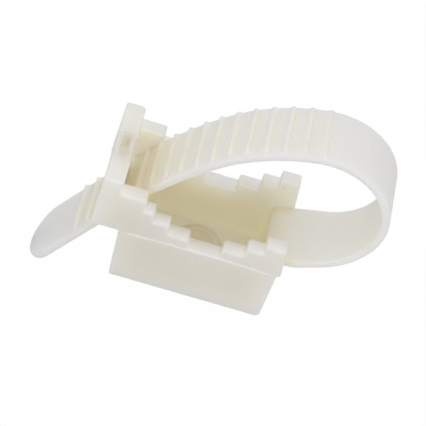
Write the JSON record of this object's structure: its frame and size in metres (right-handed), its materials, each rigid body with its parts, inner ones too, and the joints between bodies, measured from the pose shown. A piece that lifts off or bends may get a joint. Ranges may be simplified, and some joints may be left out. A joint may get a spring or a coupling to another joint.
{
  "type": "cable strap holder",
  "caption": "Moulded plastic wall saddle with stepped cheeks and an integral toothed strap that loops over a cable and locks under a bridge.",
  "frame": {"origin": "axis of the fixing hole, at the face that lies on the wall", "axes": "+X along the base towards the strap's root, +Y across the strap, +Z away from the wall"},
  "size_m": [0.0577, 0.019, 0.0475],
  "materials": {
    "nylon": "natural milky nylon, slightly translucent, satin with fine moulded grain"
  },
  "bodies": {
    "root": {"strap_holder": "nylon"}
  },
  "joints": []
}
